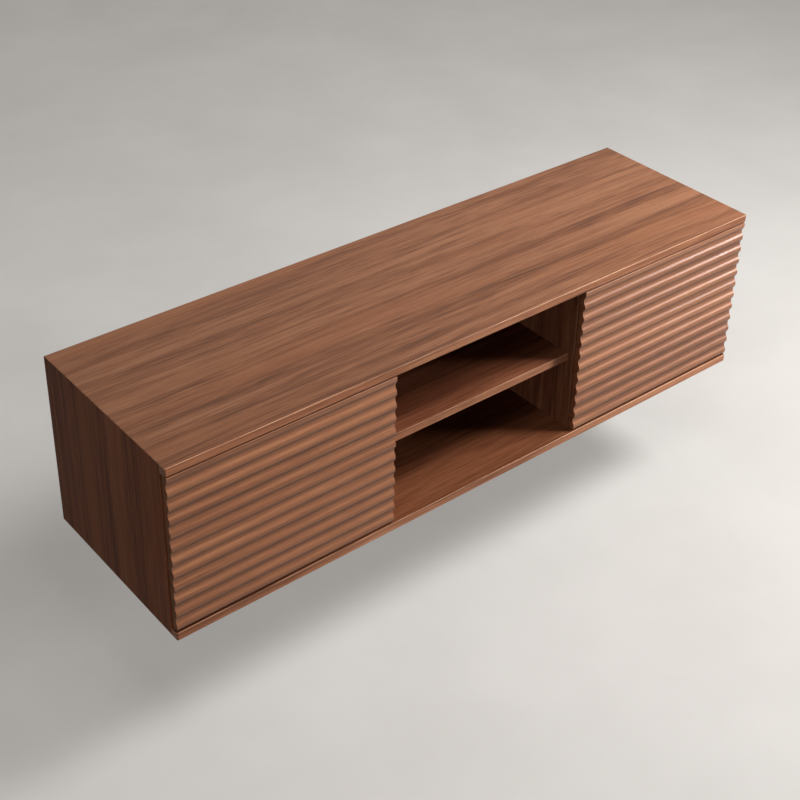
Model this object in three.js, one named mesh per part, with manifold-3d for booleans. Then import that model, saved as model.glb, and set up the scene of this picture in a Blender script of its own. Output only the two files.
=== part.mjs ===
// A floating media console: a long wall-hung case with two wave-fronted swing doors
// on either side of an open middle bay with one shelf.
// Millimetres. X runs along the width, Y points at the wall and Z is up.
// The origin is on the wall, in the middle of the wall rail's back face.

import * as THREE from 'three';
import { mergeVertices } from 'three/addons/utils/BufferGeometryUtils.js';
import Module from 'manifold-3d';

const wasm = await Module();
wasm.setup();

// Overall size
const consoleWidth = 1500;
const consoleDepth = 430;
const consoleHeight = 390;

// Boards, and the hairline left where two of them meet
const boardThickness = 18;
const jointGap = 0.1;
const boardEase = 0.8;
const panelEase = 1.5;
const panelCornerRadius = 3;
const cutOverrun = 2;

// Back sheets in their grooves, and the stretchers behind them
const sheetThickness = 5;
const sheetGrooveDepth = 6;
const sheetGrooveClearance = 0.3;
const sheetSeam = 1;
const stretcherHeight = 80;
const cableHoleRadius = 28;

// Middle bay and its fixed shelf
const bayWidth = 496;
const bayShelfSetBack = 16;
const dowelRadius = 4;
const dowelInShelf = 20;
const dowelInDivider = 10;
const dowelClearance = 0.3;
const dowelInset = 60;

// Loose shelves in the two compartments, on pins in rows of holes
const shelfEndGap = 1;
const shelfSetBack = 60;
const shelfBackGap = 8;
const pinRowInset = 37;
const pinHoleSpacing = 32;
const pinHoleSteps = [-1, 0, 1];
const pinShankRadius = 2.5;
const pinShankLength = 8;
const pinHeadRadius = 3.75;
const pinHeadLength = 9;
const pinChamfer = 0.5;
const pinClearance = 0.3;

// Doors: a level land at the top, then coves with narrow rounded crests between them.
// The lower edge cuts one more cove short, after the tail share of its run
const doorThickness = 15;
const doorBackGap = 3.5;
const doorEndInset = 2;
const doorBayReveal = 1;
const doorEdgeGap = 2.5;
const doorEase = 0.8;
const waveDepth = 6;
const waveCrestRound = 1.2;
const waveLand = 7;
const waveCount = 11;
const waveTailShare = 0.325;
const waveSteps = 22;
const crestCrowdingShare = 0.6;

// Concealed hinges: a cup in the door and a cranked arm on the case, joined by a pin
const hingeFromDoorEnd = 70;
const cupRadius = 17.5;
const cupCover = 1.5;
const cupFromEdge = 3;
const cupClearance = 0.25;
const cupRim = 1;
const flangeHeight = 54;
const flangeWidth = 16;
const flangeShift = 5;
const flangeHoleRadius = 1.7;
const flangeHoleInset = 5.5;
const pivotFromEdge = 6.2;
const hingePinRadius = 1;
const hingePinLength = 14;
const hingePinClearance = 0.3;
const hingeEyeRadius = 1.9;
const eyeClearance = 0.25;
const hookThickness = 2.4;
const armThickness = 2.5;
const armWidth = 9;
const armRear = 36;
const armSideClearance = 0.3;
const armHoleRadius = 1.8;
const armHoleInset = 8;
const armHoleSpacing = 16;
const pocketFloor = 0.8;
const pocketWall = 4;
const wellWidth = 24;
const wellLength = 18;
const wellFromRim = 8;
const plateThickness = 2;
const plateFront = 6;
const plateRear = 44;
const plateWidth = 14;
const plateWing = 48;
const plateWingWidth = 12;
const plateHoleRadius = 2.1;
const plateHoleInset = 5;

// Push latches on the dividers, with a strike plate and soft bumpers on each door
const latchHeightAboveMiddle = 60;
const latchWidth = 14;
const latchHeight = 18;
const latchLength = 60;
const latchSetBack = 1;
const latchCorner = 3;
const plungerRadius = 4;
const plungerLength = 42;
const plungerNose = 1;
const plungerClearance = 0.3;
const plungerBoreLength = 48;
const strikeWidth = 20;
const strikeHeight = 16;
const strikeThickness = 0.9;
const strikeCorner = 3;
const strikeGap = 0.3;
const bumperRadius = 5;
const bumperThickness = 3;
const bumperDome = 0.6;
const bumperFromEnd = 30;

// Hanging rails: two hooked strips that lock together between the case and the wall
const railBelowTop = 85;
const railEndGap = 82;
const railThickness = 2.5;
const railOffset = 3.6;
const railBaseLower = 15;
const railKickStart = 10;
const railKickRise = 4;
const railLipTop = 25;
const railPairGap = 0.3;
const railStackGap = 0.5;
const railHoleRadius = 2.75;
const railHoleInset = 150;
const railHoleCount = 6;

// Facets round a full turn
const roundFacets = 32;
const smallFacets = 16;
const holeFacets = 12;
const easeSteps = 3;

// Places that follow from the sizes above
const halfWidth = consoleWidth / 2;
const halfBay = bayWidth / 2;
const middleHeight = consoleHeight / 2;
const innerBottom = boardThickness;
const innerTop = consoleHeight - boardThickness;
const caseFront = -(consoleDepth - doorThickness - doorBackGap);
const railLength = 2 * (halfWidth - boardThickness - railEndGap);
const railStackDepth = railOffset + railThickness + railStackGap;
const railHeight = consoleHeight - railBelowTop;
const stretcherBack = -(railStackDepth + jointGap);
const stretcherFront = stretcherBack - boardThickness;
const sheetBack = stretcherFront - jointGap;
const sheetFront = sheetBack - sheetThickness;
const uprightBack = sheetFront - jointGap;
const sideInner = halfWidth - boardThickness;
const dividerOuter = halfBay + boardThickness;
const shelfBottom = middleHeight - boardThickness / 2;
const shelfTop = shelfBottom + boardThickness;
const shelfFront = caseFront + shelfSetBack;
const shelfBack = uprightBack - shelfBackGap;
const bayShelfFront = caseFront + bayShelfSetBack;
const pinHeight = shelfBottom - pinClearance - pinHeadRadius;
const pinRows = [shelfFront + pinRowInset, shelfBack - pinRowInset];
const dowelRows = [bayShelfFront + dowelInset, uprightBack - dowelInset];
const doorWidth = halfWidth - doorEndInset - halfBay - doorBayReveal;
const doorHeight = innerTop - innerBottom - 2 * doorEdgeGap;
const doorFront = -(doorBackGap + doorThickness);

// Finishes
function finish(color, roughness, metalness) {
  return new THREE.MeshStandardMaterial({ color, roughness, metalness });
}

const walnutTop = finish(0x9a6642, 0.45, 0);
const walnutSide = finish(0x7a4d33, 0.5, 0);
const walnutDoor = finish(0x94603f, 0.45, 0);
const walnutInside = finish(0x6b402a, 0.55, 0);
const backBoard = finish(0x4a2e20, 0.6, 0);
const nickel = finish(0xb9b6b0, 0.3, 0.9);
const aluminium = finish(0xc4c6c8, 0.4, 0.9);
const beech = finish(0xcaa678, 0.6, 0);
const greyPlastic = finish(0x8b8d8f, 0.5, 0);
const whitePlastic = finish(0xdedcd6, 0.45, 0);
const clearRubber = finish(0xd8d6d0, 0.35, 0);

// Turns of the axes that keep every coordinate exact:
// the first lays a local Z length along X, the second along Y.
// A turned shape's own axis, local Y, comes to lie along Z with the first and along X with the second.
const zToX = new THREE.Matrix4().makeBasis(
  new THREE.Vector3(0, 1, 0), new THREE.Vector3(0, 0, 1), new THREE.Vector3(1, 0, 0));
const zToY = new THREE.Matrix4().makeBasis(
  new THREE.Vector3(0, 0, 1), new THREE.Vector3(1, 0, 0), new THREE.Vector3(0, 1, 0));

// Joining and cutting closed shapes

function solidOf(geometry) {
  const bare = geometry.clone();
  bare.deleteAttribute('normal');
  bare.deleteAttribute('uv');
  const merged = mergeVertices(bare);
  return new wasm.Manifold(new wasm.Mesh({
    numProp: 3,
    vertProperties: new Float32Array(merged.attributes.position.array),
    triVerts: new Uint32Array(merged.index.array),
  }));
}

function geometryOf(solid) {
  const mesh = solid.getMesh();
  const indexed = new THREE.BufferGeometry();
  indexed.setAttribute('position', new THREE.BufferAttribute(new Float32Array(mesh.vertProperties), 3));
  indexed.setIndex(new THREE.BufferAttribute(new Uint32Array(mesh.triVerts), 1));
  const faceted = indexed.toNonIndexed();
  faceted.computeVertexNormals();
  return faceted;
}

function combine(body, { joined = [], shared = [], removed = [] }) {
  let solid = solidOf(body);
  for (const piece of joined) solid = solid.add(solidOf(piece));
  for (const piece of shared) solid = solid.intersect(solidOf(piece));
  for (const piece of removed) solid = solid.subtract(solidOf(piece));
  return geometryOf(solid);
}

// Basic shapes

function block(xs, ys, zs) {
  const box = new THREE.BoxGeometry(xs[1] - xs[0], ys[1] - ys[0], zs[1] - zs[0]);
  return box.translate((xs[0] + xs[1]) / 2, (ys[0] + ys[1]) / 2, (zs[0] + zs[1]) / 2);
}

function roundedOutline(us, vs, lowRadius, highRadius = lowRadius) {
  const outline = new THREE.Shape();
  const quarter = Math.PI / 2;
  const corner = (u, v, radius, start) => {
    if (radius > 0) outline.absarc(u, v, radius, start, start + quarter, false);
    else outline.lineTo(u, v);
  };
  outline.moveTo(us[0] + lowRadius, vs[0]);
  corner(us[1] - lowRadius, vs[0] + lowRadius, lowRadius, -quarter);
  corner(us[1] - highRadius, vs[1] - highRadius, highRadius, 0);
  corner(us[0] + highRadius, vs[1] - highRadius, highRadius, quarter);
  corner(us[0] + lowRadius, vs[0] + lowRadius, lowRadius, 2 * quarter);
  return outline;
}

function eased(outline, start, thickness, ease) {
  const geometry = new THREE.ExtrudeGeometry(outline, {
    depth: thickness - 2 * ease,
    bevelEnabled: ease > 0,
    bevelSize: ease,
    bevelThickness: ease,
    bevelSegments: easeSteps,
    curveSegments: easeSteps,
  });
  return geometry.translate(0, 0, start + ease);
}

const shrunk = (range, by) => [range[0] + by, range[1] - by];

// Boards lying flat, standing along Y, and standing along X
function flatBoard(xs, ys, zs, ease = boardEase) {
  return eased(roundedOutline(shrunk(xs, ease), shrunk(ys, ease), 0), zs[0], zs[1] - zs[0], ease);
}

function uprightBoard(xs, ys, zs, ease = boardEase) {
  const outline = roundedOutline(shrunk(ys, ease), shrunk(zs, ease), 0);
  return eased(outline, xs[0], xs[1] - xs[0], ease).applyMatrix4(zToX);
}

function facingBoard(xs, ys, zs, ease = boardEase) {
  const outline = roundedOutline(shrunk(zs, ease), shrunk(xs, ease), 0);
  return eased(outline, ys[0], ys[1] - ys[0], ease).applyMatrix4(zToY);
}

// Round rods along each axis, from one coordinate to another
function rodAlongX(x0, x1, y, z, radius, facets = smallFacets) {
  const rod = new THREE.CylinderGeometry(radius, radius, x1 - x0, facets).applyMatrix4(zToY);
  return rod.translate((x0 + x1) / 2, y, z);
}

function rodAlongY(x, y0, y1, z, radius, facets = smallFacets) {
  const rod = new THREE.CylinderGeometry(radius, radius, y1 - y0, facets);
  return rod.translate(x, (y0 + y1) / 2, z);
}

function rodAlongZ(x, y, z0, z1, radius, facets = smallFacets) {
  const rod = new THREE.CylinderGeometry(radius, radius, z1 - z0, facets).applyMatrix4(zToX);
  return rod.translate(x, y, (z0 + z1) / 2);
}

// The case's outer block, soft-edged all round, from which the main panels and the sides are cut
function caseBlock(zs) {
  const xs = shrunk([-halfWidth, halfWidth], panelEase);
  const ys = shrunk([-consoleDepth, 0], panelEase);
  const outline = roundedOutline(xs, ys, panelCornerRadius - panelEase, 0);
  return eased(outline, zs[0], zs[1] - zs[0], panelEase);
}

// A wedge along Y that cuts a mitre at one of the case's four long corners. Each of its points is
// given by how far it lies in from the end and from the top or bottom face. level is +1 at the top
function mitreWedge(hand, level, points, ys) {
  const outline = new THREE.Shape(points.map(([inward, deep]) => new THREE.Vector2(
    level > 0 ? consoleHeight - deep : deep, hand * (halfWidth - inward))));
  const wedge = new THREE.ExtrudeGeometry(outline, { depth: ys[1] - ys[0], bevelEnabled: false });
  return wedge.translate(0, 0, ys[0]).applyMatrix4(zToY);
}

const mitreEnd = boardThickness + cutOverrun;
const panelMitre = [[-cutOverrun, -cutOverrun], [mitreEnd, mitreEnd], [-cutOverrun, mitreEnd]];
const sideMitre = [
  [-cutOverrun - jointGap, -cutOverrun],
  [mitreEnd - jointGap, mitreEnd],
  [mitreEnd - jointGap, -cutOverrun],
];

// Top and bottom panels: full length, grooved for the back sheets, and mitred to the sides at their
// ends. The mitres stop at the front edges of the sides, and the panels run on in front of the doors
const grooveYs = [sheetFront - sheetGrooveClearance, sheetBack + sheetGrooveClearance];

function mainPanel(level) {
  const zs = level > 0 ? [innerTop, consoleHeight] : [0, innerBottom];
  const grooveZs = level > 0
    ? [innerTop - cutOverrun, innerTop + sheetGrooveDepth]
    : [innerBottom - sheetGrooveDepth, innerBottom + cutOverrun];
  const reach = sideInner + sheetGrooveDepth;
  const groove = block([-reach, reach], grooveYs, grooveZs);
  const mitreYs = [caseFront - jointGap, cutOverrun];
  const mitres = [-1, 1].map((hand) => mitreWedge(hand, level, panelMitre, mitreYs));
  return combine(caseBlock(zs), { removed: [groove, ...mitres] });
}

// Sides and dividers, with the rows of holes for the shelf pins

// inward is +1 where the holes open towards +X, and -1 where they open towards -X
function pinHoles(face, inward) {
  const holes = [];
  const mouth = face + inward * cutOverrun;
  const end = face - inward * (pinShankLength + pinClearance);
  const radius = pinShankRadius + pinClearance;
  for (const y of pinRows) {
    for (const step of pinHoleSteps) {
      const z = pinHeight + step * pinHoleSpacing;
      holes.push(rodAlongX(Math.min(mouth, end), Math.max(mouth, end), y, z, radius));
    }
  }
  return holes;
}

function sidePanel(hand) {
  const xs = hand < 0 ? [-halfWidth, -sideInner] : [sideInner, halfWidth];
  const board = uprightBoard(xs, [caseFront, 0], [-cutOverrun, consoleHeight + cutOverrun]);
  const mitreYs = [caseFront - cutOverrun, cutOverrun];
  const mitres = [-1, 1].map((level) => mitreWedge(hand, level, sideMitre, mitreYs));
  const grooveXs = [sideInner - cutOverrun, sideInner + sheetGrooveDepth].map((x) => hand * x);
  const grooveZs = [-cutOverrun, consoleHeight + cutOverrun];
  const groove = block([Math.min(...grooveXs), Math.max(...grooveXs)], grooveYs, grooveZs);
  return combine(board, {
    shared: [caseBlock([0, consoleHeight])],
    removed: [groove, ...mitres, ...pinHoles(hand * sideInner, -hand)],
  });
}

function divider(hand) {
  const xs = hand < 0 ? [-dividerOuter, -halfBay] : [halfBay, dividerOuter];
  const board = uprightBoard(xs, [caseFront, uprightBack], [innerBottom + jointGap, innerTop - jointGap]);
  const dowelHoles = dowelRows.map((y) => {
    const ends = [halfBay - cutOverrun, halfBay + dowelInDivider + dowelClearance].map((x) => hand * x);
    return rodAlongX(Math.min(...ends), Math.max(...ends), y, middleHeight, dowelRadius + dowelClearance);
  });
  return combine(board, { removed: [...dowelHoles, ...pinHoles(hand * dividerOuter, hand)] });
}

// Back sheets, cut for cables, and the two stretchers behind them

const sheetZs = [
  innerBottom - sheetGrooveDepth + sheetGrooveClearance,
  innerTop + sheetGrooveDepth - sheetGrooveClearance,
];
const lowerHoleHeight = (innerBottom + stretcherHeight + shelfBottom) / 2;
const upperHoleHeight = (innerTop - stretcherHeight + shelfTop) / 2;

function backSheet(xs, holePlaces) {
  const sheet = block(xs, [sheetFront, sheetBack], sheetZs);
  const holes = holePlaces.map(([x, z]) => rodAlongY(
    x, sheetFront - cutOverrun, sheetBack + cutOverrun, z, cableHoleRadius, roundFacets));
  return combine(sheet, { removed: holes });
}

function stretcher(z0) {
  const reach = sideInner - jointGap;
  const zs = [z0, z0 + stretcherHeight - jointGap];
  return facingBoard([-reach, reach], [stretcherFront, stretcherBack], zs);
}

// Shelves

function bayShelf() {
  const reach = halfBay - jointGap;
  const board = flatBoard([-reach, reach], [bayShelfFront, uprightBack], [shelfBottom, shelfTop]);
  const holes = [];
  const radius = dowelRadius + dowelClearance;
  for (const hand of [-1, 1]) {
    const ends = [halfBay - dowelInShelf - dowelClearance, halfBay + cutOverrun].map((x) => hand * x);
    for (const y of dowelRows) {
      holes.push(rodAlongX(Math.min(...ends), Math.max(...ends), y, middleHeight, radius));
    }
  }
  return combine(board, { removed: holes });
}

function looseShelf() {
  const reach = (sideInner - dividerOuter) / 2 - shelfEndGap;
  return flatBoard([-reach, reach], [shelfFront, shelfBack], [shelfBottom, shelfTop]);
}

// A pin turned about its own axis, with its shoulder against the panel and its head towards +X
function shelfPin() {
  const head = pinHeadLength + jointGap;
  const profile = [
    [0, -pinShankLength],
    [pinShankRadius - pinChamfer, -pinShankLength],
    [pinShankRadius, -pinShankLength + pinChamfer],
    [pinShankRadius, jointGap],
    [pinHeadRadius, jointGap],
    [pinHeadRadius, head - pinChamfer],
    [pinHeadRadius - pinChamfer, head],
    [0, head],
  ].map(([radius, along]) => new THREE.Vector2(radius, along));
  return new THREE.LatheGeometry(profile, smallFacets).applyMatrix4(zToY);
}

function shelfDowel() {
  const profile = [
    [0, -dowelInDivider],
    [dowelRadius - pinChamfer, -dowelInDivider],
    [dowelRadius, -dowelInDivider + pinChamfer],
    [dowelRadius, dowelInShelf - pinChamfer],
    [dowelRadius - pinChamfer, dowelInShelf],
    [0, dowelInShelf],
  ].map(([radius, along]) => new THREE.Vector2(radius, along));
  return new THREE.LatheGeometry(profile, smallFacets).applyMatrix4(zToY);
}

// Everything from here to the hanging rails is drawn for the left hand, in the frame of one door:
// X from the case's outer side, Y from the front edge of its boards, Z from mid-height.
// The right hand is the same set turned half round about its upright line and put upside down.

// The cup goes as deep as the hollows in front of it allow, and the pivot lies just over its floor
const cupDepth = doorThickness - waveDepth - cupCover;
const pivotDepth = cupDepth - pocketFloor - hingeEyeRadius - armSideClearance;
const cupCentre = doorEndInset + cupFromEdge + cupRadius;
const pivotX = doorEndInset + pivotFromEdge;
const pivotY = -(doorBackGap + pivotDepth);
const cupMouth = -doorBackGap + cupRim;
const cupHeights = [doorHeight / 2 - hingeFromDoorEnd, hingeFromDoorEnd - doorHeight / 2];
const armInner = boardThickness + plateThickness + 2 * jointGap;
const dividerFace = halfWidth - dividerOuter;

// The door's section: a level land, the coves and the flat back, with eased corners.
// up is +1 where local Z points up and -1 where it points down
function doorLeaf(up) {
  const half = doorHeight / 2;
  const waveTop = half - waveLand;
  const coveRuns = waveCount + waveTailShare;
  const pitch = (doorHeight - waveLand) / coveRuns;

  // Each cove is half a sine wave, rounded off where two of them meet at a crest
  const swell = Math.sqrt(waveDepth * (waveDepth + 2 * waveCrestRound));
  const depthAt = (run) => Math.hypot(swell * Math.sin(Math.PI * run), waveCrestRound) - waveCrestRound;
  const crowded = (run) => run - crestCrowdingShare * Math.sin(2 * Math.PI * run) / (2 * Math.PI);
  const runs = [];
  for (let step = 0; crowded(step / waveSteps) < coveRuns; step += 1) {
    runs.push(crowded(step / waveSteps));
  }
  runs.push(coveRuns);

  const section = new THREE.Shape();
  section.moveTo(-doorBackGap, up * (doorEase - half));
  section.lineTo(-doorBackGap, up * (half - doorEase));
  section.lineTo(-doorBackGap - doorEase, up * half);
  section.lineTo(doorFront + doorEase, up * half);
  section.lineTo(doorFront, up * (half - doorEase));
  for (const run of runs) section.lineTo(doorFront + depthAt(run), up * (waveTop - run * pitch));
  section.lineTo(-doorBackGap - doorEase, -up * half);
  const leaf = new THREE.ExtrudeGeometry(section, { depth: doorWidth, bevelEnabled: false });
  leaf.translate(0, 0, doorEndInset).applyMatrix4(zToX);
  const floor = -(doorBackGap + cupDepth + cupClearance);
  const bores = cupHeights.map((z) => rodAlongY(
    cupCentre, floor, -doorBackGap + cutOverrun, z, cupRadius + cupClearance, roundFacets));
  return combine(leaf, { removed: bores });
}

// Cup with a screw flange on the door's back, hollow inside, and a slot where the arm enters
function hingeCup() {
  const floor = -(doorBackGap + cupDepth);
  const cup = rodAlongY(cupCentre, floor, cupMouth, 0, cupRadius, roundFacets);
  const flangeXs = [cupCentre + flangeShift - flangeWidth / 2, cupCentre + flangeShift + flangeWidth / 2];
  const flangeZs = [-flangeHeight / 2, flangeHeight / 2];
  const flangeThickness = cupRim - jointGap;
  const flange = eased(roundedOutline(flangeZs, flangeXs, flangeWidth / 3), cupMouth - flangeThickness,
    flangeThickness, 0).applyMatrix4(zToY);
  const slotStart = pivotX - hingeEyeRadius - eyeClearance;
  const slotHalf = armWidth / 2 + armSideClearance;
  const inside = [floor + pocketFloor, cupMouth + cutOverrun];
  const slotEnd = cupCentre + cupRadius - pocketWall;
  const slot = block([slotStart, slotEnd], inside, [-slotHalf, slotHalf]);
  const wellStart = slotStart + wellFromRim;
  const well = block([wellStart, wellStart + wellLength], inside, [-wellWidth / 2, wellWidth / 2]);
  const pinReach = hingePinLength / 2 + hingePinClearance;
  const pinBore = rodAlongZ(pivotX, pivotY, -pinReach, pinReach, hingePinRadius + hingePinClearance);
  const holes = flangeZs.map((z) => rodAlongY(
    cupCentre + flangeShift, cupMouth - flangeThickness - cutOverrun, cupMouth + cutOverrun,
    z - Math.sign(z) * flangeHoleInset, flangeHoleRadius, holeFacets));
  return combine(cup, { joined: [flange], removed: [slot, well, pinBore, ...holes] });
}

// Arm: an eye round the pin, a hook out of the cup and a leg that runs back along the plate
function hingeArm() {
  const half = hookThickness / 2;
  const outer = armInner + armThickness;
  const mouth = Math.asin(half / hingeEyeRadius);
  const neck = pivotX + hingeEyeRadius * Math.cos(mouth);
  const outline = new THREE.Shape();
  outline.moveTo(neck, pivotY - half);
  outline.lineTo(outer, pivotY - half);
  outline.lineTo(outer, armRear);
  outline.lineTo(armInner, armRear);
  outline.lineTo(armInner, pivotY + half);
  outline.lineTo(neck, pivotY + half);
  outline.absarc(pivotX, pivotY, hingeEyeRadius, mouth, 2 * Math.PI - mouth, false);
  const eye = new THREE.Path();
  eye.absarc(pivotX, pivotY, hingePinRadius + hingePinClearance, 0, 2 * Math.PI, true);
  outline.holes.push(eye);
  const arm = new THREE.ExtrudeGeometry(outline, {
    depth: armWidth,
    bevelEnabled: false,
    curveSegments: smallFacets,
  }).translate(0, 0, -armWidth / 2);
  const holes = [armHoleInset, armHoleInset + armHoleSpacing].map((inset) => rodAlongX(
    armInner - cutOverrun, outer + cutOverrun, armRear - inset, 0, armHoleRadius, holeFacets));
  return combine(arm, { removed: holes });
}

// Mounting plate: a body under the arm, with wings above and below for its screws
function hingePlate() {
  const bodyHalf = plateWidth / 2;
  const wingHalf = plateWing / 2;
  const wingFront = plateRear - plateWingWidth;
  const outline = new THREE.Shape();
  outline.moveTo(plateFront, -bodyHalf);
  outline.lineTo(wingFront, -bodyHalf);
  outline.lineTo(wingFront, -wingHalf);
  outline.lineTo(plateRear, -wingHalf);
  outline.lineTo(plateRear, wingHalf);
  outline.lineTo(wingFront, wingHalf);
  outline.lineTo(wingFront, bodyHalf);
  outline.lineTo(plateFront, bodyHalf);
  const inner = boardThickness + jointGap;
  const plate = eased(outline, inner, plateThickness, 0).applyMatrix4(zToX);
  const holes = [-1, 1].map((side) => rodAlongX(
    inner - cutOverrun, inner + plateThickness + cutOverrun, plateRear - plateWingWidth / 2,
    side * (wingHalf - plateHoleInset), plateHoleRadius, holeFacets));
  return combine(plate, { removed: holes });
}

function hingePin() {
  const reach = hingePinLength / 2;
  return rodAlongZ(pivotX, pivotY, -reach, reach, hingePinRadius);
}

// Push latch: a housing on the divider, with a plunger that stands off the strike plate
const latchXs = [dividerFace - latchWidth, dividerFace - jointGap];
const latchCentre = (latchXs[0] + latchXs[1]) / 2;
const strikeFace = -doorBackGap + jointGap + strikeThickness;

function latchHousing() {
  const outline = roundedOutline([-latchHeight / 2, latchHeight / 2], latchXs, latchCorner);
  const housing = eased(outline, latchSetBack, latchLength, 0).applyMatrix4(zToY);
  const bore = rodAlongY(latchCentre, latchSetBack - cutOverrun, latchSetBack + plungerBoreLength, 0,
    plungerRadius + plungerClearance);
  return combine(housing, { removed: [bore] });
}

function latchPlunger() {
  const tip = strikeFace + strikeGap;
  const profile = [
    [0, tip],
    [plungerRadius - plungerNose, tip],
    [plungerRadius, tip + plungerNose],
    [plungerRadius, tip + plungerLength],
    [0, tip + plungerLength],
  ].map(([radius, along]) => new THREE.Vector2(radius, along));
  return new THREE.LatheGeometry(profile, smallFacets).translate(latchCentre, 0, 0);
}

function strikePlate() {
  const xs = [latchCentre - strikeWidth / 2, latchCentre + strikeWidth / 2];
  const outline = roundedOutline([-strikeHeight / 2, strikeHeight / 2], xs, strikeCorner);
  return eased(outline, -doorBackGap + jointGap, strikeThickness, 0).applyMatrix4(zToY);
}

// Bumper: a low domed disc that meets the divider's front edge when the door is pressed
function doorBumper() {
  const foot = -doorBackGap + jointGap;
  const crown = foot + bumperThickness;
  const profile = [
    [0, foot],
    [bumperRadius, foot],
    [bumperRadius, crown - bumperDome],
    [bumperRadius - bumperDome, crown],
    [0, crown],
  ].map(([radius, along]) => new THREE.Vector2(radius, along));
  return new THREE.LatheGeometry(profile, smallFacets).translate(dividerFace + boardThickness / 2, 0, 0);
}

// Hanging rails: the same hooked strip twice, on the wall and turned over on the case

// How much higher the kick starts on the wall side than on the room side
const kickStep = railThickness * railKickRise / (railOffset + railThickness);

function hangingRail() {
  const rise = railKickStart + railKickRise;
  const section = new THREE.Shape();
  section.moveTo(0, -railBaseLower);
  section.lineTo(0, railKickStart + kickStep);
  section.lineTo(-railOffset, rise + kickStep);
  section.lineTo(-railOffset, railLipTop);
  section.lineTo(-(railOffset + railThickness), railLipTop);
  section.lineTo(-(railOffset + railThickness), rise);
  section.lineTo(-railThickness, railKickStart);
  section.lineTo(-railThickness, -railBaseLower);
  const rail = new THREE.ExtrudeGeometry(section, { depth: railLength, bevelEnabled: false });
  rail.translate(0, 0, -railLength / 2).applyMatrix4(zToX);
  const holeHeight = (railKickStart - railBaseLower) / 2;
  const firstHole = railHoleInset - railLength / 2;
  const spacing = (railLength - 2 * railHoleInset) / (railHoleCount - 1);
  const holes = [];
  for (let index = 0; index < railHoleCount; index += 1) {
    holes.push(rodAlongY(firstHole + index * spacing, -railThickness - cutOverrun, cutOverrun,
      holeHeight, railHoleRadius, holeFacets));
  }
  return combine(rail, { removed: holes });
}

// Putting the console together

const console3d = new THREE.Group();
console3d.position.z = -railHeight;

function add(group, name, geometry, material, place = [0, 0, 0]) {
  const mesh = new THREE.Mesh(geometry, material);
  mesh.name = name;
  mesh.position.set(...place);
  group.add(mesh);
  return mesh;
}

add(console3d, 'top_panel', mainPanel(1), walnutTop);
add(console3d, 'bottom_panel', mainPanel(-1), walnutTop);
add(console3d, 'upper_stretcher', stretcher(innerTop - stretcherHeight), walnutInside);
add(console3d, 'lower_stretcher', stretcher(innerBottom + jointGap), walnutInside);
add(console3d, 'center_shelf', bayShelf(), walnutInside);

const sheetEnd = sideInner + sheetGrooveDepth - sheetGrooveClearance;
const seam = halfBay + boardThickness / 2;
const compartmentMiddle = (sideInner + dividerOuter) / 2;
const sheetEdges = [-sheetEnd, -seam - sheetSeam / 2, -seam + sheetSeam / 2];
const bayHoles = [[0, lowerHoleHeight], [0, upperHoleHeight]];
add(console3d, 'left_back_sheet',
  backSheet([sheetEdges[0], sheetEdges[1]], [[-compartmentMiddle, lowerHoleHeight]]), backBoard);
add(console3d, 'center_back_sheet', backSheet([sheetEdges[2], -sheetEdges[2]], bayHoles), backBoard);
add(console3d, 'right_back_sheet',
  backSheet([-sheetEdges[1], -sheetEdges[0]], [[compartmentMiddle, lowerHoleHeight]]), backBoard);

for (const [word, hand] of [['left', -1], ['right', 1]]) {
  add(console3d, `${word}_side_panel`, sidePanel(hand), walnutSide);
  add(console3d, `${word}_divider`, divider(hand), walnutInside);
  add(console3d, `${word}_shelf`, looseShelf(), walnutInside, [hand * compartmentMiddle, 0, 0]);

  // Shelf pins one and two stand in the side panel, three and four in the divider
  let pinNumber = 1;
  for (const [face, inward] of [[sideInner, -hand], [dividerOuter, hand]]) {
    for (const y of pinRows) {
      const place = [hand * face, y, pinHeight];
      const pin = add(console3d, `${word}_shelf_pin_${pinNumber}`, shelfPin(), nickel, place);
      pin.rotation.z = inward > 0 ? 0 : Math.PI;
      pinNumber += 1;
    }
  }

  // Dowels that carry the middle shelf, two at each end
  dowelRows.forEach((y, row) => {
    const name = `${word}_shelf_dowel_${row + 1}`;
    const dowel = add(console3d, name, shelfDowel(), beech, [hand * halfBay, y, middleHeight]);
    dowel.rotation.z = hand < 0 ? 0 : Math.PI;
  });

  // The door and its fittings; half a turn about Y makes the right hand from the left
  const fittings = new THREE.Group();
  fittings.position.set(hand * halfWidth, caseFront, middleHeight);
  fittings.rotation.y = hand < 0 ? 0 : Math.PI;
  console3d.add(fittings);

  const up = -hand;
  add(fittings, `${word}_door`, doorLeaf(up), walnutDoor);
  for (const [level, z] of [['upper', cupHeights[0]], ['lower', cupHeights[1]]]) {
    add(fittings, `${word}_${level}_hinge_cup`, hingeCup(), nickel, [0, 0, up * z]);
    add(fittings, `${word}_${level}_hinge_arm`, hingeArm(), nickel, [0, 0, up * z]);
    add(fittings, `${word}_${level}_hinge_plate`, hingePlate(), nickel, [0, 0, up * z]);
    add(fittings, `${word}_${level}_hinge_pin`, hingePin(), nickel, [0, 0, up * z]);
  }
  const latchPlace = [0, 0, up * latchHeightAboveMiddle];
  add(fittings, `${word}_latch_housing`, latchHousing(), greyPlastic, latchPlace);
  add(fittings, `${word}_latch_plunger`, latchPlunger(), whitePlastic, latchPlace);
  add(fittings, `${word}_strike_plate`, strikePlate(), nickel, latchPlace);
  const bumperHeight = doorHeight / 2 - bumperFromEnd;
  add(fittings, `${word}_upper_bumper`, doorBumper(), clearRubber, [0, 0, up * bumperHeight]);
  add(fittings, `${word}_lower_bumper`, doorBumper(), clearRubber, [0, 0, -up * bumperHeight]);
}

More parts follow.
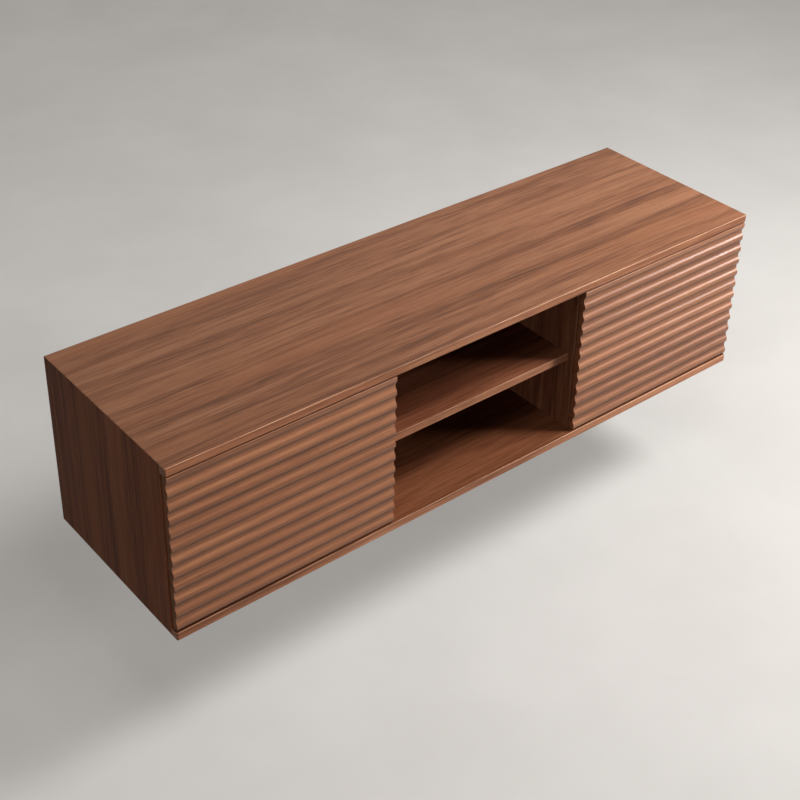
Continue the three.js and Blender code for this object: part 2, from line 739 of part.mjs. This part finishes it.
// The case's rail hooks over the wall's, back to back and a hair above its lip
const kickAtLip = railKickStart + kickStep + (railStackDepth - railOffset) * railKickRise / railOffset;
const pairHeight = railLipTop + kickAtLip + railPairGap;
add(console3d, 'wall_rail', hangingRail(), aluminium, [0, 0, railHeight]);
const caseRail = add(console3d, 'case_rail', hangingRail(), aluminium,
  [0, -railStackDepth, railHeight + pairHeight]);
caseRail.rotation.x = Math.PI;

export default console3d;
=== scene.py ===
"""A long wall-hung walnut media console with two wave-fronted doors and an open middle bay.

Lengths are metres. The console's length runs along X, its doors face -Y, the wall is the plane
y = 0 and Z points up.
"""

import math

import bmesh
import bpy
from mathutils import Matrix, Vector


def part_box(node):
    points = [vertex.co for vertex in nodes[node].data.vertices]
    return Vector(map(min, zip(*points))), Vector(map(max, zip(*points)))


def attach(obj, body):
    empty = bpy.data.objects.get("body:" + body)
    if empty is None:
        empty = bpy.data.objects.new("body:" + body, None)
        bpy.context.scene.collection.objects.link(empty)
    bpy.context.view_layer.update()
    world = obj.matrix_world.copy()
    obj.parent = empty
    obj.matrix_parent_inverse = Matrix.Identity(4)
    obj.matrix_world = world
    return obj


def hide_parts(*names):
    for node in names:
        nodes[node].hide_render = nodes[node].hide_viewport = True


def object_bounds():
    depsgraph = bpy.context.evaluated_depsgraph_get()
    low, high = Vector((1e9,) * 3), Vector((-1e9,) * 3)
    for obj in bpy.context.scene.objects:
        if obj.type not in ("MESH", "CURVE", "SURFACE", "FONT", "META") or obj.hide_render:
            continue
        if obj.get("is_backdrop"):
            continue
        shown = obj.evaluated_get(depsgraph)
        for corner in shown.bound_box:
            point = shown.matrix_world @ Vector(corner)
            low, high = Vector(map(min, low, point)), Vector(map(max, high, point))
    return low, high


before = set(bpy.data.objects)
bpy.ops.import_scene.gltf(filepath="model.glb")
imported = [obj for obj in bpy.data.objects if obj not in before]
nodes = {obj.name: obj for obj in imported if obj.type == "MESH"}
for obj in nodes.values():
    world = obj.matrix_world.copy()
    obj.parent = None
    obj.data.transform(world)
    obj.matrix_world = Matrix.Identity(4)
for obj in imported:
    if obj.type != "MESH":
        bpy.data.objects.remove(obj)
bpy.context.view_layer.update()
scene = bpy.context.scene

HEIGHTS = ("upper", "lower")
WHITE = (1.0, 1.0, 1.0)


def new_object(name, data):
    """An object in the scene that shows a mesh, a lamp or a camera."""
    made = bpy.data.objects.new(name, data)
    scene.collection.objects.link(made)
    return made


# Camera, fitted to the edges in the photograph

CAMERA_PLACE = (-1.7031, -2.1851, 1.6294)
CAMERA_TURN = (59.258, -1.132, -38.984)
CAMERA_SENSOR = 36
CAMERA_LENS = 66.64
CAMERA_SHIFT = -0.15
CAMERA_NEAR = 0.05
CAMERA_FAR = 100

camera_data = bpy.data.cameras.new("camera")
camera_data.sensor_width = CAMERA_SENSOR
camera_data.lens = CAMERA_LENS
camera_data.shift_y = CAMERA_SHIFT
camera_data.clip_start = CAMERA_NEAR
camera_data.clip_end = CAMERA_FAR
camera = new_object("camera", camera_data)
camera.location = CAMERA_PLACE
camera.rotation_euler = [math.radians(angle) for angle in CAMERA_TURN]
scene.camera = camera

# Colours and node trees

NOISE_MIDDLE = 0.5
# The places of a Mix node's two inputs and its result, because their names are all alike
MIX_PLACES = {"VECTOR": (4, 5, 1), "RGBA": (6, 7, 2)}


def linear(red, green, blue):
    """A colour written as it looks on screen, 0 to 255, made linear by the sRGB formula."""
    shares = [value / 255 for value in (red, green, blue)]
    return tuple(share / 12.92 if share <= 0.04045 else ((share + 0.055) / 1.055) ** 2.4
                 for share in shares) + (1.0,)


class Tree:
    """The node tree of a material or a world, with short ways to add nodes and wire them."""

    def __init__(self, owner):
        owner.use_nodes = True
        self.owner = owner
        self.tree = owner.node_tree
        self.tree.nodes.clear()

    def add(self, kind, inputs=None, **settings):
        """Add a node. Each input is a plain value or the output of another node."""
        node = self.tree.nodes.new(kind)
        for key, value in settings.items():
            setattr(node, key, value)
        for key, value in (inputs or {}).items():
            if isinstance(value, bpy.types.NodeSocket):
                self.tree.links.new(value, node.inputs[key])
            else:
                node.inputs[key].default_value = value
        return node

    def math(self, operation, a, b=0.0, c=0.0, clamp=False):
        inputs = {0: a, 1: b, 2: c}
        return self.add("ShaderNodeMath", inputs, operation=operation, use_clamp=clamp).outputs[0]

    def vector(self, operation, a, b):
        return self.add("ShaderNodeVectorMath", {0: a, 1: b}, operation=operation).outputs[0]

    def split(self, vector):
        return self.add("ShaderNodeSeparateXYZ", {0: vector}).outputs

    def join(self, x, y, z):
        return self.add("ShaderNodeCombineXYZ", {0: x, 1: y, 2: z}).outputs[0]

    def mix(self, factor, a, b, kind="RGBA", blend="MIX"):
        place_a, place_b, place_out = MIX_PLACES[kind]
        inputs = {0: factor, place_a: a, place_b: b}
        node = self.add("ShaderNodeMix", inputs, data_type=kind, blend_type=blend)
        return node.outputs[place_out]

    def noise(self, vector, rate, detail=2.0, rough=0.5, output="Fac"):
        """Noise that changes at its own rate, in steps per metre, along each axis."""
        inputs = {"Vector": self.vector("MULTIPLY", vector, rate), "Scale": 1.0,
                  "Detail": detail, "Roughness": rough}
        return self.add("ShaderNodeTexNoise", inputs).outputs[output]

    def swing(self, noise):
        """How far a noise lies above or below its middle."""
        return self.math("SUBTRACT", noise, NOISE_MIDDLE)

    def ramp(self, value, stops):
        node = self.add("ShaderNodeValToRGB", {"Fac": value})
        elements = node.color_ramp.elements
        while len(elements) < len(stops):
            elements.new(stops[0][0])
        for element, (place, colour) in zip(elements, stops):
            element.position = place
            element.color = colour
        return node.outputs["Color"]

    def ray_seen(self):
        """1 for a ray that shows things to the camera, straight, by reflection or through glass."""
        rays = self.add("ShaderNodeLightPath").outputs
        seen = rays["Is Camera Ray"]
        for kind in ("Is Glossy Ray", "Is Transmission Ray"):
            seen = self.math("MAXIMUM", seen, rays[kind])
        return seen

    def finish(self, inputs, bump=None, strength=0.1, distance=0.0001):
        """Add the shader with its bump and return the material."""
        shader = self.add("ShaderNodeBsdfPrincipled", inputs)
        if bump is not None:
            relief = {"Height": bump, "Strength": strength, "Distance": distance}
            bumped = self.add("ShaderNodeBump", relief)
            self.tree.links.new(bumped.outputs["Normal"], shader.inputs["Normal"])
        self.add("ShaderNodeOutputMaterial", {"Surface": shader.outputs["BSDF"]})
        return self.owner


def new_tree(name):
    return Tree(bpy.data.materials.new(name))


# Wood

WALNUT = {
    "dark": linear(108, 68, 48),
    "shade": linear(143, 92, 66),
    "mid": linear(168, 111, 80),
    "light": linear(192, 133, 99),
    "warm": linear(190, 121, 84),
}
PALE_WOOD = {
    "dark": linear(176, 138, 98),
    "shade": linear(194, 158, 116),
    "mid": linear(208, 174, 132),
    "light": linear(220, 190, 150),
    "warm": linear(214, 174, 128),
}
TONE_PLACES = {"dark": 0.18, "shade": 0.38, "mid": 0.54, "light": 0.76}

# The rates of the grain's layers: along the grain, across it and into the board
WANDER_RATE = (1.2, 5.0, 5.0)
FIGURE_RATE = (0.65, 30.0, 30.0)
LINE_RATE = (11.0, 460.0, 460.0)
PORE_RATE = (55.0, 2600.0, 2600.0)
HUE_RATE = (0.9, 16.0, 16.0)
# How far the grain wanders off its straight line, and how far one seed lies from the next
WANDER_REACH = (0.0, 0.030, 0.030)
SEED_STEP = (3.17, 1.73, 2.41)

FIGURE_DETAIL = 4.0
FIGURE_ROUGH = 0.8
FIGURE_WEIGHT = 1.6
LINE_WEIGHT = 0.9
HUE_GAIN = 3.0
HUE_SHARE = 0.7
PORE_START = 0.60
PORE_GAIN = 6.0
PORE_SHARE = 0.35

# What a face's normal says: end grain, a level face, or an arris that slants between two faces
END_GRAIN_LEAN = 0.72
LEVEL_LEAN = 0.95
ARRIS_LEAN = 0.7
ARRIS_MARGIN = 0.25

WOOD_ROUGH_SWING = 0.25
PORE_RELIEF = -0.7
LINE_RELIEF = 0.6
WOOD_BUMP = {"strength": 0.12, "distance": 0.0002}


def wood(name, grain, seed, tones=WALNUT, level=WHITE, arris=WHITE, contrast=1.0, rough=0.45,
         gloss=0.17):
    """Straight-grained satin veneer.

    grain is the axis that the grain follows, x or z. level is a painted shade that darkens the
    board's level faces, up and down, and arris is a painted highlight that lightens its slanting
    arrises.
    """
    tree = new_tree(name)
    coords = tree.add("ShaderNodeTexCoord").outputs
    x, y, z = tree.split(coords["Object"])
    lean_x, _, lean_z = tree.split(coords["Normal"])
    along, across, deep, end_lean = (x, y, z, lean_x) if grain == "x" else (z, y, x, lean_z)
    is_end = tree.math("GREATER_THAN", tree.math("ABSOLUTE", end_lean), END_GRAIN_LEAN)
    grained = tree.mix(is_end, tree.join(along, across, deep), tree.join(across, deep, along),
                       kind="VECTOR")
    moved = tree.vector("ADD", grained, [seed * step for step in SEED_STEP])

    wander = tree.noise(moved, WANDER_RATE, detail=1.0, output="Color")
    bend = tree.vector("SUBTRACT", wander, [NOISE_MIDDLE] * 3)
    lines_at = tree.vector("ADD", moved, tree.vector("MULTIPLY", bend, WANDER_REACH))
    figure = tree.noise(lines_at, FIGURE_RATE, detail=FIGURE_DETAIL, rough=FIGURE_ROUGH)
    lines = tree.noise(lines_at, LINE_RATE)
    pores = tree.noise(lines_at, PORE_RATE, detail=0.0)
    hue = tree.noise(lines_at, HUE_RATE)

    tone = tree.math("MULTIPLY_ADD", tree.swing(figure), FIGURE_WEIGHT * contrast,
                     TONE_PLACES["mid"])
    tone = tree.math("MULTIPLY_ADD", tree.swing(lines), LINE_WEIGHT * contrast, tone)
    colour = tree.ramp(tone, [(place, tones[key]) for key, place in TONE_PLACES.items()])
    warmth = tree.math("MULTIPLY", tree.swing(hue), HUE_GAIN, clamp=True)
    colour = tree.mix(tree.math("MULTIPLY", warmth, HUE_SHARE), colour, tones["warm"])
    is_pore = tree.math("MULTIPLY", tree.math("SUBTRACT", pores, PORE_START), PORE_GAIN, clamp=True)
    colour = tree.mix(tree.math("MULTIPLY", is_pore, PORE_SHARE), colour, tones["dark"])

    lean = tree.math("ABSOLUTE", lean_z)
    # Painted shade: the level faces, up and down, are darkened by the level tint
    if level != WHITE:
        is_shaded_level = tree.math("GREATER_THAN", lean, LEVEL_LEAN)
        colour = tree.mix(is_shaded_level, colour, level + (1.0,), blend="MULTIPLY")
    # Painted highlight: the slanting arrises are lightened by the arris tint
    if arris != WHITE:
        off_slant = tree.math("ABSOLUTE", tree.math("SUBTRACT", lean, ARRIS_LEAN))
        is_highlit_arris = tree.math("LESS_THAN", off_slant, ARRIS_MARGIN)
        colour = tree.mix(is_highlit_arris, colour, arris + (1.0,), blend="MULTIPLY")

    roughness = tree.math("MULTIPLY_ADD", tree.swing(lines), WOOD_ROUGH_SWING, rough)
    line_height = tree.math("MULTIPLY", lines, LINE_RELIEF)
    height = tree.math("MULTIPLY_ADD", is_pore, PORE_RELIEF, line_height)
    return tree.finish({"Base Color": colour, "Roughness": roughness,
                        "Specular IOR Level": gloss}, bump=height, **WOOD_BUMP)


def shifted(tones, factor, tint=WHITE):
    """The same wood a little darker or lighter, or of another tint."""
    return {key: tuple(c * factor * t for c, t in zip(colour, tint)) + (1.0,)
            for key, colour in tones.items()}


# Metal, plastic and rubber

PLATED = (900.0, 900.0, 900.0)
BRUSHED_ALONG_X = (14.0, 2200.0, 2200.0)
METAL_CLOUD = (35.0, 35.0, 35.0)
METAL_DULL = 0.92
METAL_ROUGH_SWING = 0.25
METAL_BUMP = 0.08

PLASTIC_GRAIN = (1600.0, 1600.0, 1600.0)
PLASTIC_CLOUD = (60.0, 60.0, 60.0)
PLASTIC_DULL = 0.95
PLASTIC_ROUGH_SWING = 0.2
RUBBER_DEPTH = 0.002


def clouded(tree, cloud, colour, dull):
    """A colour that drifts between itself and a slightly darker one."""
    return tree.mix(cloud, linear(*[c * dull for c in colour]), linear(*colour))


def metal(name, colour, rough, polish=PLATED):
    """Plated or brushed metal. polish is the rate of its marks along each axis."""
    tree = new_tree(name)
    coords = tree.add("ShaderNodeTexCoord").outputs["Object"]
    marks = tree.noise(coords, polish, detail=3.0)
    tint = clouded(tree, tree.noise(coords, METAL_CLOUD), colour, METAL_DULL)
    roughness = tree.math("MULTIPLY_ADD", tree.swing(marks), METAL_ROUGH_SWING, rough)
    return tree.finish({"Base Color": tint, "Metallic": 1.0, "Roughness": roughness},
                       bump=marks, strength=METAL_BUMP)


def plastic(name, colour, rough, subsurface=0.0):
    """Finely grained moulded plastic, or milky rubber where some light passes below the skin."""
    tree = new_tree(name)
    coords = tree.add("ShaderNodeTexCoord").outputs["Object"]
    grain = tree.noise(coords, PLASTIC_GRAIN)
    tint = clouded(tree, tree.noise(coords, PLASTIC_CLOUD, detail=1.0), colour, PLASTIC_DULL)
    roughness = tree.math("MULTIPLY_ADD", tree.swing(grain), PLASTIC_ROUGH_SWING, rough)
    return tree.finish({"Base Color": tint, "Roughness": roughness,
                        "Subsurface Weight": subsurface, "Subsurface Scale": RUBBER_DEPTH},
                       bump=grain)


NICKEL = metal("nickel_plate", (208, 205, 199), rough=0.27)
ZINC = metal("zinc_screw", (186, 187, 186), rough=0.34)
ALUMINIUM = metal("rail_aluminium", (198, 200, 203), rough=0.36, polish=BRUSHED_ALONG_X)
GREY_PLASTIC = plastic("latch_grey", (138, 140, 143), rough=0.48)
WHITE_PLASTIC = plastic("plunger_white", (222, 219, 212), rough=0.4)
SOFT_RUBBER = plastic("bumper_milky", (216, 213, 206), rough=0.3, subsurface=0.4)
BEECH = wood("beech_dowel_wood", "x", seed=31.0, tones=PALE_WOOD, contrast=0.6, rough=0.6)

# Finishes of the CAD nodes

DIVIDER = shifted(WALNUT, 0.8)
SIDE = shifted(WALNUT, 0.95, (1.0, 0.82, 0.72))
INSIDE = shifted(WALNUT, 0.82)
# The back sheets at half the tone: partly their own darker board, partly painted shade of the dim
# bay and compartments
BACKING = shifted(WALNUT, 0.5)
# The doors' veneer has light patches in place of the warm ones
DOOR = shifted(WALNUT, 0.85, (1.0, 0.94, 0.83))
DOOR["warm"] = DOOR["light"]

# Pale tints of the slanting arrises: painted highlights that stand in for the light they catch
ARRIS_HIGHLIGHT = (1.6, 2.3, 2.9)
FAINTER_ARRIS_HIGHLIGHT = (1.4, 2.0, 2.5)
BACKING_ROUGH = 0.55
SIDE_GLOSS = 0.03
DOOR_CONTRAST = 0.6
DOOR_ROUGH = 0.32
DOOR_GLOSS = 0.42
DOOR_END_GLOSS = 0.04
DOOR_SEED = 9.0
# The right half's boards are cut a little further along the same sheets of veneer
SEED_BY_SIDE = {"left": 0.0, "right": 0.37}


def dress(name, material):
    """Give a CAD node one material all over."""
    node = nodes[name]
    if not node.material_slots:
        node.data.materials.append(material)
    for slot in node.material_slots:
        slot.material = material


# The level tints below darken each board's level faces as painted shade, most on the bottom and the
# bay shelf; the arris tints are painted highlights
dress("top_panel", wood("walnut_top", "x", seed=1.0, tones=shifted(WALNUT, 1.05),
                        level=(0.63, 0.64, 0.63), arris=ARRIS_HIGHLIGHT))
dress("bottom_panel", wood("walnut_bottom", "x", seed=2.0, tones=shifted(WALNUT, 1.2),
                           level=(0.36, 0.29, 0.24), arris=FAINTER_ARRIS_HIGHLIGHT))
dress("center_shelf", wood("walnut_bay_shelf", "x", seed=3.0, level=(0.47, 0.38, 0.35),
                           arris=ARRIS_HIGHLIGHT))
dress("upper_stretcher", wood("walnut_upper_stretcher", "x", seed=4.0, tones=INSIDE))
dress("lower_stretcher", wood("walnut_lower_stretcher", "x", seed=5.0, tones=INSIDE))
dress("center_back_sheet", wood("backing_center", "x", seed=6.0, tones=BACKING,
                                rough=BACKING_ROUGH))

for side, further in SEED_BY_SIDE.items():
    dress(f"{side}_side_panel", wood(f"walnut_{side}_side", "z", seed=7.0 + further, tones=SIDE,
                                     gloss=SIDE_GLOSS))
    dress(f"{side}_divider", wood(f"walnut_{side}_divider", "z", seed=8.0 + further,
                                  tones=DIVIDER))
    # The doors' level tint darkens their top and bottom edges as painted shade
    dress(f"{side}_door", wood(f"walnut_{side}_door", "x", seed=DOOR_SEED + further, tones=DOOR,
                               level=(0.6, 0.55, 0.5), contrast=DOOR_CONTRAST, rough=DOOR_ROUGH,
                               gloss=DOOR_GLOSS))
    dress(f"{side}_shelf", wood(f"walnut_{side}_shelf", "x", seed=10.0 + further, tones=INSIDE))
    dress(f"{side}_back_sheet", wood(f"backing_{side}", "x", seed=11.0 + further, tones=BACKING,
                                     rough=BACKING_ROUGH))
    for number in (1, 2, 3, 4):
        dress(f"{side}_shelf_pin_{number}", NICKEL)
    for number in (1, 2):
        dress(f"{side}_shelf_dowel_{number}", BEECH)
    for height in HEIGHTS:
        for part in ("cup", "arm", "plate", "pin"):
            dress(f"{side}_{height}_hinge_{part}", NICKEL)
        dress(f"{side}_{height}_bumper", SOFT_RUBBER)
    dress(f"{side}_latch_housing", GREY_PLASTIC)
    dress(f"{side}_latch_plunger", WHITE_PLASTIC)
    dress(f"{side}_strike_plate", NICKEL)

dress("wall_rail", ALUMINIUM)
dress("case_rail", ALUMINIUM)

# The doors' wave

# The door nodes' coves are 6 mm deep and meet at narrow crests. The wave in the photograph is
# rounder and shallower, so each visible door is its node with the coves turned into that wave.
# Its first crest lies below a level land, and the last of its runs is cut short by the lower edge.
WAVE_LAND = 0.007
WAVE_RUNS = 11.325
# Half the depth of the plain sine, and the share of its third harmonic that squares it a little
WAVE_SWING = 0.0026
WAVE_SQUARENESS = 0.08
COVE_REACH = 0.0065
SAME_PLACE = 0.00001
END_FACING = 0.99
MOST_CORNERS = 4
SHARP_ANGLE = math.radians(30)


def wave_door(side, end_finish):
    """The door with the photograph's wave, and a plainer finish on its two ends."""
    node = nodes[f"{side}_door"]
    low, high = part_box(f"{side}_door")
    first_crest = high.z - WAVE_LAND
    pitch = (first_crest - low.z) / WAVE_RUNS
    leaf = bmesh.new()
    leaf.from_mesh(node.data)
    bmesh.ops.remove_doubles(leaf, verts=leaf.verts, dist=SAME_PLACE)
    for hand in (-1, 1):
        leaf.normal_update()
        end = [face for face in leaf.faces if face.normal.x * hand > END_FACING]
        bmesh.ops.dissolve_faces(leaf, faces=end)
    for vert in leaf.verts:
        if vert.co.y < low.y + COVE_REACH and vert.co.z < first_crest + SAME_PLACE:
            turn = 2 * math.pi * (first_crest - vert.co.z) / pitch
            swell = 1 - math.cos(turn) - WAVE_SQUARENESS * (1 - math.cos(3 * turn))
            vert.co.y = low.y + WAVE_SWING * swell
    leaf.normal_update()
    many_sided = [face for face in leaf.faces if len(face.verts) > MOST_CORNERS]
    bmesh.ops.triangulate(leaf, faces=many_sided)
    leaf.normal_update()
    points = [vert.co.copy() for vert in leaf.verts]
    leaf.verts.index_update()
    faces = [[vert.index for vert in face.verts] for face in leaf.faces]
    is_end = [int(abs(face.normal.x) > END_FACING) for face in leaf.faces]
    leaf.free()

    mesh = bpy.data.meshes.new(f"{side}_wave_door")
    mesh.from_pydata(points, [], faces)
    mesh.materials.append(node.material_slots[0].material)
    mesh.materials.append(end_finish)
    mesh.polygons.foreach_set("material_index", is_end)
    mesh.shade_smooth()
    mesh.set_sharp_from_angle(angle=SHARP_ANGLE)
    piece = new_object(f"{side}_wave_door", mesh)
    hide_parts(f"{side}_door")
    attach(piece, f"{side}_door_body")


for side, further in SEED_BY_SIDE.items():
    wave_door(side, wood(f"walnut_{side}_door_end", "x", seed=DOOR_SEED + further, tones=DOOR,
                         contrast=DOOR_CONTRAST, gloss=DOOR_END_GLOSS))

# Screws

SCREW_SIDES = 28
# The head's profile from its seat to its crown, as shares of its radius and its height
HEAD_PROFILE = ((1.0, 0.0), (1.0, 0.35), (0.93, 0.72), (0.74, 1.0))
CROSS_REACH = 0.55
CROSS_HALF_WIDTH = 0.15
CROSS_DEPTH = 0.7
CROSS_TAPER = 0.8
# Each screw's cross is turned on from the one before, in radians
FIRST_TURN = 0.3
NEXT_TURN = 0.7
# A head sits this deep in the face under it
SEAT = 0.00005

# Radius and height of each kind of head
CUP_SCREW = (0.0032, 0.0011)
ARM_SCREW = (0.003, 0.0013)
PLATE_SCREW = (0.0033, 0.0014)
LATCH_SCREW = (0.003, 0.0013)
STRIKE_SCREW = (0.0019, 0.0006)
RAIL_SCREW = (0.0042, 0.0018)

# Where the screws sit: off the middle of their piece, or in from one of its edges
CUP_FLANGE_SHIFT = 0.005
CUP_SCREW_SPREAD = 0.0215
ARM_SCREW_SETBACKS = (0.008, 0.024)
PLATE_SCREW_SETBACK = 0.006
PLATE_SCREW_SPREAD = 0.019
LATCH_SCREW_SETBACK = 0.0055
STRIKE_SCREW_SPREAD = 0.0073
RAIL_SCREW_MARGIN = 0.0125
# The rails' screws along X, and the faces of the rails that they sit on
RAIL_SCREW_SPACING = 0.1
RAIL_SCREW_PLACES = [RAIL_SCREW_SPACING * step for step in (-5, -3, -1, 1, 3, 5)]
WALL_RAIL_FACE = -0.0025
CASE_RAIL_FACE = -0.0041


def screw_mesh(radius, height):
    """A cross-head screw's head along +Z: a domed rim, a flat crown and a sunk cross."""
    head = bmesh.new()
    rings = []
    for across, up in HEAD_PROFILE:
        angles = [2 * math.pi * i / SCREW_SIDES for i in range(SCREW_SIDES)]
        rings.append([head.verts.new((radius * across * math.cos(angle),
                                      radius * across * math.sin(angle), height * up))
                      for angle in angles])
    for low, high in zip(rings, rings[1:]):
        for i in range(SCREW_SIDES):
            j = (i + 1) % SCREW_SIDES
            head.faces.new((low[i], low[j], high[j], high[i]))
    head.faces.new(list(reversed(rings[0])))

    arm = radius * CROSS_REACH
    half = radius * CROSS_HALF_WIDTH
    cross = [(arm, -half), (arm, half), (half, half), (half, arm), (-half, arm), (-half, half),
             (-arm, half), (-arm, -half), (-half, -half), (-half, -arm), (half, -arm),
             (half, -half)]
    bottom = height - height * CROSS_DEPTH
    brim = [head.verts.new((x, y, height)) for x, y in cross]
    floor = [head.verts.new((x * CROSS_TAPER, y * CROSS_TAPER, bottom)) for x, y in cross]
    for i in range(len(cross)):
        j = (i + 1) % len(cross)
        head.faces.new((brim[j], brim[i], floor[i], floor[j]))
    head.faces.new(floor)

    edges = [head.edges.get((loop[i], loop[(i + 1) % len(loop)]))
             for loop in (rings[-1], brim) for i in range(len(loop))]
    bmesh.ops.triangle_fill(head, use_beauty=True, edges=edges)
    bmesh.ops.recalc_face_normals(head, faces=head.faces)
    return head


def screws(name, body, places, axis, kind):
    """One piece made of several screw heads, each set on its place and facing along axis."""
    mesh = bpy.data.meshes.new(name)
    whole = bmesh.new()
    turn = Vector(axis).to_track_quat("Z", "Y").to_matrix().to_4x4()
    for number, place in enumerate(places):
        head = screw_mesh(*kind)
        spin = Matrix.Rotation(NEXT_TURN * number + FIRST_TURN, 4, "Z")
        head.transform(Matrix.Translation(place) @ turn @ spin)
        single = bpy.data.meshes.new("screw")
        head.to_mesh(single)
        head.free()
        whole.from_mesh(single)
        bpy.data.meshes.remove(single)
    whole.to_mesh(mesh)
    whole.free()
    mesh.materials.append(ZINC)
    piece = new_object(name, mesh)
    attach(piece, body)


def middle(low, high):
    return (low + high) / 2


for side, inward in (("left", 1), ("right", -1)):
    door_body = f"{side}_door_body"
    for height in HEIGHTS:
        low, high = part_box(f"{side}_{height}_hinge_cup")
        flange_x = middle(low.x, high.x) + inward * CUP_FLANGE_SHIFT
        middle_z = middle(low.z, high.z)
        screws(f"{side}_{height}_cup_screws", door_body,
               [(flange_x, high.y - SEAT, middle_z + s * CUP_SCREW_SPREAD) for s in (-1, 1)],
               (0, 1, 0), CUP_SCREW)

        low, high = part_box(f"{side}_{height}_hinge_arm")
        face_x = (high.x if inward > 0 else low.x) - inward * SEAT
        screws(f"{side}_{height}_arm_screws", "case",
               [(face_x, high.y - setback, middle_z) for setback in ARM_SCREW_SETBACKS],
               (inward, 0, 0), ARM_SCREW)

        low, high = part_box(f"{side}_{height}_hinge_plate")
        face_x = (high.x if inward > 0 else low.x) - inward * SEAT
        screws(f"{side}_{height}_plate_screws", "case",
               [(face_x, high.y - PLATE_SCREW_SETBACK, middle_z + s * PLATE_SCREW_SPREAD)
                for s in (-1, 1)],
               (inward, 0, 0), PLATE_SCREW)

    low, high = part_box(f"{side}_latch_housing")
    face_x = (low.x if inward > 0 else high.x) + inward * SEAT
    screws(f"{side}_latch_screw", "case",
           [(face_x, high.y - LATCH_SCREW_SETBACK, middle(low.z, high.z))],
           (-inward, 0, 0), LATCH_SCREW)

    low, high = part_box(f"{side}_strike_plate")
    screws(f"{side}_strike_screws", door_body,
           [(middle(low.x, high.x) + s * STRIKE_SCREW_SPREAD, high.y - SEAT,
             middle(low.z, high.z)) for s in (-1, 1)],
           (0, 1, 0), STRIKE_SCREW)

low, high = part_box("wall_rail")
screws("wall_rail_screws", "case",
       [(x, WALL_RAIL_FACE + SEAT, low.z + RAIL_SCREW_MARGIN) for x in RAIL_SCREW_PLACES],
       (0, -1, 0), RAIL_SCREW)
low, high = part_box("case_rail")
screws("case_rail_screws", "case",
       [(x, CASE_RAIL_FACE - SEAT, high.z - RAIL_SCREW_MARGIN) for x in RAIL_SCREW_PLACES],
       (0, 1, 0), RAIL_SCREW)

# Floor: pale and softly shaded to the camera, but dark to the light that it would throw back

FLOOR_HEIGHT = -0.578
FLOOR_REACH = 14.0
FLOOR_CLOUDS = (2.2, 2.2, 2.2)
FLOOR_TONES = ((0.3, linear(212, 208, 203)), (0.7, linear(220, 216, 211)))
FLOOR_GLOW = 0.4
FLOOR_DIMMING = 0.36
FLOOR_SHADE = (0.0, 0.0, 0.0, 1.0)
FLOOR_BOUNCE = linear(72, 70, 68)
FLOOR_ROUGH = 0.75

corners = [(x * FLOOR_REACH, y * FLOOR_REACH, FLOOR_HEIGHT)
           for x, y in ((-1, -1), (1, -1), (1, 1), (-1, 1))]
floor_mesh = bpy.data.meshes.new("floor")
floor_mesh.from_pydata(corners, [], [(0, 1, 2, 3)])
floor = new_object("floor", floor_mesh)
floor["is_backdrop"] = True

plaster = new_tree("pale_floor")
floor_at = plaster.add("ShaderNodeTexCoord").outputs["Object"]
clouds = plaster.noise(floor_at, FLOOR_CLOUDS, detail=4.0, rough=0.6)
looked_at = plaster.ray_seen()
pale = plaster.ramp(clouds, FLOOR_TONES)
dimmed = plaster.mix(FLOOR_DIMMING, pale, FLOOR_SHADE)
floor_mesh.materials.append(plaster.finish({
    "Base Color": plaster.mix(looked_at, FLOOR_BOUNCE, dimmed), "Roughness": FLOOR_ROUGH,
    "Specular IOR Level": 0.0, "Emission Color": pale,
    "Emission Strength": plaster.math("MULTIPLY", looked_at, FLOOR_GLOW)}))

# World: a pale backdrop to the camera and in reflections, and a faint white light on the object

WORLD_LIGHT = 0.016
BACKDROP = linear(214, 208, 202)

world = bpy.data.worlds.new("world")
scene.world = world
sky = Tree(world)
fill = sky.add("ShaderNodeBackground", {"Color": WHITE + (1.0,), "Strength": WORLD_LIGHT})
backdrop = sky.add("ShaderNodeBackground", {"Color": BACKDROP, "Strength": 1.0})
either = sky.add("ShaderNodeMixShader", {0: sky.ray_seen(), 1: fill.outputs[0],
                                         2: backdrop.outputs[0]})
sky.add("ShaderNodeOutputWorld", {"Surface": either.outputs[0]})

# Lamps: place, target, width and power

LAMPS = {
    "window": ((3.4, -2.6, 0.95), (0.2, -0.3, -0.1), 0.7, 72.0),
    "upper_right": ((1.9, -1.3, 2.0), (0.2, -0.3, 0.0), 1.0, 95.0),
    "upper_left": ((-0.5, -1.6, 3.0), (-0.4, -0.3, 0.0), 1.4, 19.0),
    "low_left": ((-2.6, -1.8, 0.5), (-0.7, -0.2, -0.1), 1.4, 6.5),
    "rear": ((1.6, 2.4, 2.6), (0.0, -0.2, 0.0), 2.0, 4.0),
}

for name, (place, target, width, power) in LAMPS.items():
    lamp = bpy.data.lights.new(name, "AREA")
    lamp.shape = "SQUARE"
    lamp.size = width
    lamp.energy = power
    light = new_object(name, lamp)
    light.location = place
    aim = Vector(target) - Vector(place)
    light.rotation_euler = aim.to_track_quat("-Z", "Y").to_euler()

scene.view_settings.view_transform = "Standard"

low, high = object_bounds()
